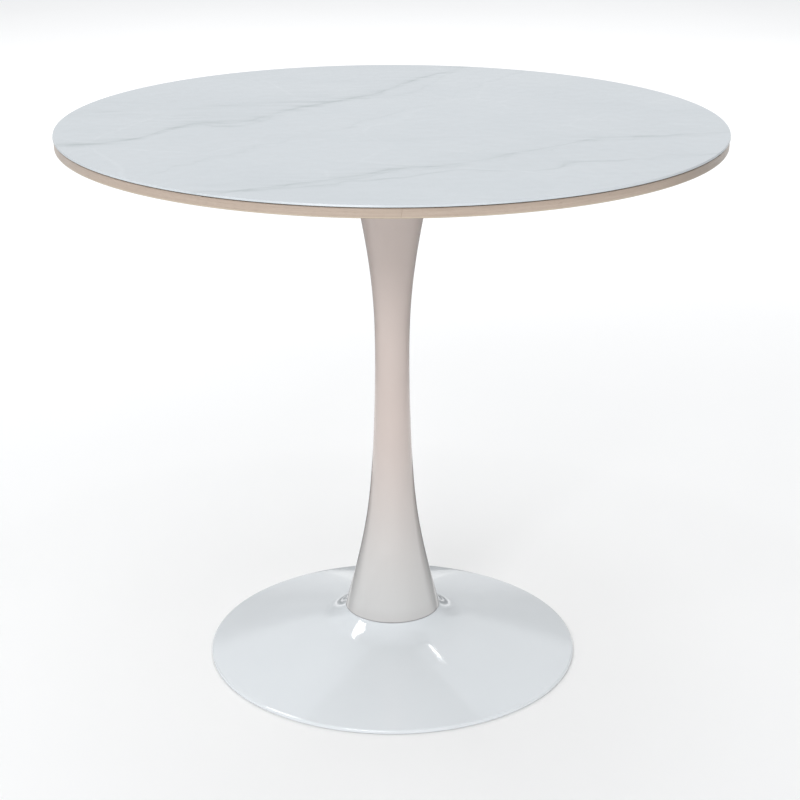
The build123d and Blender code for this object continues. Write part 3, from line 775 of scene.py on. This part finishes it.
print("metal finishes", zinc.material.name, steel.material.name, iron.material.name)

# %% [markdown]
# ## Welds under the hub
# The hub disc is held to the dome by short weld stitches. A stitch is a bead laid along an arc: its section
# is a circle whose radius swells and shrinks with each drop of metal and runs out to nothing at both ends.

# %% Weld stitches
STITCHES, STITCH_ARC = 6, math.radians(26.0)
BEAD, BEAD_OUT, BEAD_DOWN = 1.9 * MM, 0.6, 0.75
FIRST_STITCH = math.radians(15.0)
hub_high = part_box("hub_plate")[1]


def stitch(title, radius, height, middle, arc, steps=64, sides=14):
    """A weld bead along an arc. With s from 0 to 1 along it and a round its section, the bead's radius is
    BEAD times (4 s (1 - s)) to the power 0.3, times (0.88 + 0.12 |sin 13 pi s|)."""
    s = np.linspace(0.004, 0.996, steps)[:, None]
    a = np.linspace(0.0, 2.0 * math.pi, sides, endpoint=False)[None, :]
    thick = BEAD * (4.0 * s * (1.0 - s)) ** 0.3 * (0.88 + 0.12 * np.abs(np.sin(13.0 * math.pi * s)))
    t = middle + (s - 0.5) * arc
    r = radius + thick * np.cos(a)
    return shell_of(title, around(r, t, height + thick * np.sin(a)), tube_faces(steps, sides))


for i in range(STITCHES):
    where = FIRST_STITCH + i * 2.0 * math.pi / STITCHES
    seam = stitch(f"hub_weld_{i + 1}", hub_high.x + BEAD_OUT * BEAD, hub_high.z - BEAD_DOWN * BEAD,
                  where, STITCH_ARC)
    bead.dress(fitted(seam, "table", "flange_steel"))

# %% [markdown]
# ## Threads
# Studs and levelling stems are M8 rods with a 1.25 mm pitch. A single thread is a surface whose radius
# depends on height and angle together: the phase is height / pitch - angle / full turn, and the radius falls
# from crest to root and back as a triangle wave of that phase. The lower end is chamfered, and the thread
# runs out to nothing at its upper end.

# %% Threaded rods
PITCH, CREST, THREAD_DEPTH = 1.25 * MM, 4.0 * MM, 0.65 * MM
ROD_SIDES, ROWS_PER_TURN = 32, 8


def rod(centre, bottom, top, threaded_to):
    """Corners and faces of a threaded rod. top may be a number or a function of x and y, so that a stud can
    end on a sloping sheet; ROWS_PER_TURN rows follow each turn of the thread."""
    t = np.linspace(0.0, 2.0 * math.pi, ROD_SIDES, endpoint=False)
    x, y = centre[0] + CREST * np.cos(t), centre[1] + CREST * np.sin(t)
    end = top(x, y) if callable(top) else np.full(ROD_SIDES, top)
    level = np.arange(bottom, threaded_to, PITCH / ROWS_PER_TURN)
    low = level[:, None] + 0.0 * t
    rows = np.vstack([low, np.maximum(end[None, :], low[-1:])])
    phase = rows / PITCH - t / (2.0 * math.pi)
    wave = np.abs(2.0 * (phase - np.floor(phase)) - 1.0)
    fade = np.clip((rows - bottom) / PITCH, 0.35, 1.0) * np.clip((threaded_to - rows) / PITCH, 0.0, 1.0)
    ends = 0.8 * THREAD_DEPTH * np.clip(1.0 - (rows - bottom) / (0.6 * PITCH), 0.0, 1.0)
    r = CREST - THREAD_DEPTH * np.clip(1.25 * wave - 0.12, 0.0, 1.0) * fade
    r = np.minimum(r, CREST - ends)
    return around(r, t, rows, centre), tube_faces(len(rows), ROD_SIDES)


def joined(title, parts):
    """One mesh object from several separate closed shells, each with its own corners and faces."""
    corners = np.vstack([c for c, _ in parts])
    starts = np.cumsum([0] + [len(c) for c, _ in parts])
    faces = [tuple(k + start for k in face) for start, (_, made) in zip(starts, parts) for face in made]
    return shell_of(title, corners, faces)


def dome_above(x, y):
    """Height of the dome's inner sheet above a point, a hair lower so that a stud doesn't cut through it."""
    order = np.argsort(dome_inside[:, 0])
    return np.interp(np.hypot(x, y), dome_inside[order, 0], dome_inside[order, 1]) - 0.03 * MM


stud_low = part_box("weight_studs")[0]
STUD_CIRCLE, STUD_THREAD = 115.0 * MM, 12.0 * MM
weight_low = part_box("counterweight")[0]
studs = []
for angle in np.radians([0.0, 90.0, 180.0, 270.0]):
    spot_xy = (STUD_CIRCLE * math.cos(angle), STUD_CIRCLE * math.sin(angle))
    studs.append(rod(spot_xy, stud_low.z, dome_above, weight_low.z + STUD_THREAD))
zinc.dress(fitted(joined("threaded_studs", studs), "table", "screw_zinc", "weight_studs"))

# %% [markdown]
# ## Plastic and rubber
# Moulded nylon is black with a fine even grain. Rubber is matt, and pale dust clings to it in patches.

# %% Plastic and rubber finishes
nylon = Finish("glide_nylon", IOR=1.53)
grain = nylon.noise(1600.0, 3.0, 0.6)
nylon.colour(nylon.tones(nylon.noise(120.0, 3.0), (0.020, 0.020, 0.022), (0.034, 0.034, 0.037)))
nylon.rough(grain, 0.36, 0.52)
nylon.relief(grain, 0.00004)

rubber = Finish("sole_rubber", IOR=1.52)
dusty = rubber.span(rubber.noise(160.0, 5.0, 0.7), 0.45, 0.68)
rubber.colour(rubber.mix(dusty, (0.018, 0.018, 0.018), (0.075, 0.070, 0.064), 0.5))
rubber.feed("Roughness", rubber.span(dusty, 0.0, 1.0, 0.62, 0.88))
rubber.relief(rubber.noise(1100.0, 4.0, 0.6), 0.00007)

# %% [markdown]
# ## Levelling feet
# A foot is three pieces: a rubber sole with three shallow grooves for grip, a nylon glide with a soft
# shoulder and a parting line, and a zinc plated stem with a hexagon collar for a spanner. All three move
# together when the foot is screwed in or out, so they ride on the foot's own body and not on the table.

# %% Feet
GROOVE, GROOVE_DEPTH, GROOVE_PLACES = 0.55 * MM, 0.5 * MM, (0.80, 0.56, 0.32)
SHOULDER, PARTING = 2.7 * MM, 0.12 * MM
HEX_FLATS, HEX_EASE, HEX_CORNER = 13.0 * MM, 0.22 * MM, 1.6
COLLAR, PLAIN_END = 1.7 * MM, 0.4 * MM


def grooved_sole(radius, low, high):
    """Half an outline of the sole: flat on top, and below it three grooves, each a square notch."""
    bottom, roof = [(radius, high), (radius, low)], low + GROOVE_DEPTH
    for side in (radius * share for share in GROOVE_PLACES):
        bottom += [(side, low), (side, roof), (side - GROOVE, roof), (side - GROOVE, low)]
    return np.array([(0.0, high), *bottom, (0.0, low)])


def glide(radius, low, high):
    """Half an outline of the glide: a rounded shoulder, and a small step at the parting line low down."""
    side = rounded([(0.0, high), (radius, high), (radius, low + 1.25 * MM)], [0.0, SHOULDER, 0.0], 9)
    below = radius - PARTING
    line = [(radius, low + 1.1 * MM), (below, low + 1.05 * MM), (below, low + 0.35 * MM)]
    return np.vstack([side, line, [(radius - 0.4 * MM, low), (0.0, low)]])


def hexagon(centre, low, high):
    """A hexagonal collar with eased corners: twelve angles, so each of the six corners is a short flat."""
    flat, corner = HEX_FLATS / 2.0, HEX_FLATS / math.sqrt(3.0)
    t = np.radians(np.arange(0.0, 360.0, 60.0))[:, None] + np.radians([-HEX_CORNER, HEX_CORNER])
    level = np.array([low, low + HEX_EASE, high - HEX_EASE, high])
    scale = np.array([1.0 - HEX_EASE / flat, 1.0, 1.0, 1.0 - HEX_EASE / flat])
    r = scale[:, None] * (corner - HEX_EASE / 2.0)
    return around(r, t.ravel(), level[:, None], centre), tube_faces(len(level), t.size)


def disc(node):
    """Centre, radius, lowest and highest height of an upright round node, from its box."""
    low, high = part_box(node)
    return ((low.x + high.x) / 2.0, (low.y + high.y) / 2.0), (high.x - low.x) / 2.0, low.z, high.z


for place in ("front_left", "front_right", "back_right", "back_left"):
    body = f"foot_{place}"
    middle, *pad_size = disc(f"foot_pad_{place}")
    sole_size = disc(f"foot_sole_{place}")[1:]
    stem_low, stem_high = disc(f"foot_stem_{place}")[2:]
    sole = turned(f"sole_{place}", grooved_sole(*sole_size), 72, middle)
    rubber.dress(fitted(sole, body, "sole_rubber", f"foot_sole_{place}"))
    pad = turned(f"glide_{place}", glide(*pad_size), 72, middle)
    nylon.dress(fitted(pad, body, "glide_nylon", f"foot_pad_{place}"))
    collar_top = stem_low + COLLAR
    parts = [hexagon(middle, stem_low, collar_top), rod(middle, collar_top, stem_high, stem_high - PLAIN_END)]
    zinc.dress(fitted(joined(f"stem_{place}", parts), body, "screw_zinc", f"foot_stem_{place}"))

# %% [markdown]
# ## Floor
# The table stands on a plain pale floor, a wide flat disc with a thin closed edge. It is only a stage: it
# isn't part of the table.

# %% Floor
FLOOR_RADII, FLOOR_DEPTH = (0.0, 0.6, 1.6, 5.0, 14.0), 0.02
ground = Finish("floor_paint", IOR=1.45, Specular_IOR_Level=0.15)
ground.colour(ground.tones(ground.noise(0.9, 3.0), (0.925, 0.918, 0.908), (0.945, 0.938, 0.928)))
ground.rough(ground.noise(40.0, 4.0), 0.62, 0.75)
floor_outline = [(r, 0.0) for r in FLOOR_RADII] + [(FLOOR_RADII[-1], -FLOOR_DEPTH), (0.0, -FLOOR_DEPTH)]
floor = turned("floor", floor_outline, 96)
ground.dress(floor)

# %% [markdown]
# ## Lights
# Soft daylight. One big window in front, a little to the left, gives the shape, and a weak cool one on the
# left lifts that side. Two wide lamps, behind the table and in front of it, point down and keep the floor
# bright. A tall window and a very small one behind the table only show as crisp glints on the glossy base.
# A white object on a white floor loses its outline, so a studio hangs dark cloths just out of sight: two
# curved grey ones low behind the table and a dark one flat on the floor show in the gloss, and draw the
# column's outline and the neck's hollow. Two flags under the top's rim keep some sky off the ends of the
# wood edge and the sides of the column. The world is an even pale sky.

# %% Lights
WHITE, UP = (1.0, 1.0, 1.0), (0.0, 0.0, 1.0)


def window(title, place, aim, width, height, power, colour=WHITE, upright=UP, lights=True, shows=True):
    """A rectangular area light at a place, facing the aim, its height as near as can be along upright. Its
    axes are z away from the aim, x = upright x z, and y = z x x, each of length one. One that only shows is
    a glint in gloss and adds no light to matt surfaces; one that only lights is never seen in gloss."""
    lamp = bpy.data.lights.new(title, "AREA")
    lamp.shape, lamp.size, lamp.size_y = "RECTANGLE", width, height
    lamp.energy, lamp.color = power, colour
    made = bpy.data.objects.new(title, lamp)
    z = Vector(place) - Vector(aim)
    z.normalize()
    x = Vector(upright).cross(z).normalized()
    made.matrix_world = Matrix.LocRotScale(Vector(place), Matrix((x, z.cross(x), z)).transposed(), None)
    made.visible_diffuse, made.visible_glossy = lights, shows
    bpy.context.scene.collection.objects.link(made)


window("front_window", (-1.15, -3.7, 2.55), (0.0, 0.0, 0.4), 1.7, 0.8, 56.0, (0.985, 0.99, 1.0))
window("left_window", (-2.9, -1.0, 1.95), (0.0, 0.0, 0.2), 1.3, 0.9, 4.0, (0.84, 0.93, 1.0), shows=False)
window("far_floor_light", (0.0, 3.6, 3.4), (0.0, 3.4, 0.0), 4.0, 2.0, 75.0, shows=False)
window("near_floor_light", (0.2, -2.7, 2.4), (0.2, -2.6, 0.0), 4.0, 1.6, 11.0, shows=False)
window("left_skylight", (-1.27, 0.30, 1.92), (-0.04, -0.07, 0.05), 0.62, 1.65, 26.0,
       upright=(1.17, 1.10, 0.52), lights=False)
window("back_skylight", (0.347, 1.043, 1.403), (0.05, -0.095, 0.04), 0.075, 0.005, 0.07, lights=False)


def soft_card(title, corners, rows, tone, fade, shadows=False):
    """A cloth that the camera never sees: it shows in gloss only, or with shadows it shades only. A grid of
    corners, rows by columns, has u and v running from 0 to 1 across and up it, and the cloth thins out over
    a share of its width and height, so its edge is never a line."""
    columns = len(corners) // rows
    across, up = np.meshgrid(np.linspace(0.0, 1.0, columns), np.linspace(0.0, 1.0, rows))
    uv = np.stack([across, up], -1).reshape(-1, 2)
    made = shell_of(title, corners, grid_faces(rows, columns, close_columns=False), uv)
    cloth = Finish(title + "_cloth", Roughness=0.9)
    cloth.colour(cloth.tones(cloth.noise(300.0), tuple(0.8 * v for v in tone), tone))
    place = cloth.add("UVMap", {}, uv_map="along")
    thick = None
    for axis in "XY":
        share = cloth.add("SeparateXYZ", {"Vector": place}, axis)
        for far, near in ((0.0, fade), (1.0, 1.0 - fade)):
            edge = cloth.span(share, far, near)
            thick = edge if thick is None else cloth.times(thick, edge)
    cloth.feed("Alpha", thick)
    cloth.dress(made)
    made.visible_camera = False
    made.visible_diffuse = made.visible_shadow = shadows
    made.visible_glossy = not shadows


def curved_card(title, radius, low, high, start, stop, tone, fade=0.3, shadows=False):
    """A card bent round the table, between two heights and two angles."""
    t = np.radians(np.linspace(start, stop, CARD_COLUMNS))
    h = np.linspace(low, high, CARD_ROWS)[:, None]
    soft_card(title, around(radius, t, h), CARD_ROWS, tone, fade, shadows)


CARD_COLUMNS, CARD_ROWS = 25, 6
CLOTH_COLUMNS, CLOTH_ROWS, CLOTH_HEIGHT = 37, 12, 0.002
curved_card("grey_card_right", 1.0, 0.0, 0.46, -20.0, 92.0, (0.42, 0.42, 0.42))
curved_card("grey_card_left", 1.0, 0.0, 0.46, 88.0, 190.0, (0.36, 0.36, 0.365))
t = np.radians(np.linspace(5.0, 175.0, CLOTH_COLUMNS))
r = np.linspace(0.27, 0.78, CLOTH_ROWS)[:, None]
soft_card("floor_cloth", around(r, t, CLOTH_HEIGHT), CLOTH_ROWS, (0.08, 0.085, 0.09), 0.15)
curved_card("flag_right", 0.50, 0.46, 0.735, -50.0, 75.0, (0.02, 0.02, 0.02), 0.15, True)
curved_card("flag_left", 0.52, 0.50, 0.735, 125.0, 215.0, (0.10, 0.10, 0.10), 0.2, True)

world = bpy.data.worlds.new("daylight")
world.use_nodes = True
sky = world.node_tree.nodes["Background"]
sky.inputs["Color"].default_value = (0.955, 0.975, 1.0, 1.0)
sky.inputs["Strength"].default_value = 0.79
bpy.context.scene.world = world
bpy.context.scene.view_settings.view_transform = "Standard"
